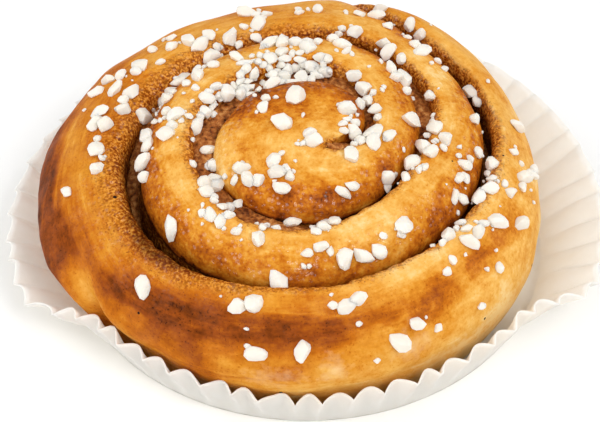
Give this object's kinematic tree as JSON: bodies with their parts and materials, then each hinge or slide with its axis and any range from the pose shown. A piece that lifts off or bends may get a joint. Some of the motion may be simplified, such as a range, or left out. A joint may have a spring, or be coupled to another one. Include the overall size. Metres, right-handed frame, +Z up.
{
  "type": "cinnamon bun",
  "caption": "Rolled cinnamon bun with a spiral seam of dark filling and pearl sugar on its browned crust, standing in a spread pleated paper case.",
  "frame": {"origin": "centre of the bounding box on the surface that the paper case stands on", "axes": "+Z up, -Y to the front, where the paper case stands up against the bun, +X to the right"},
  "size_m": [0.1248, 0.117, 0.042],
  "materials": {
    "crust": "satin, egg-washed and browned crust",
    "filling": "moist, grainy cinnamon and sugar",
    "paper": "matte, unbleached greaseproof paper"
  },
  "bodies": {
    "root": {"dough": "crust", "filling": "filling", "paper_case": "paper"}
  },
  "joints": []
}
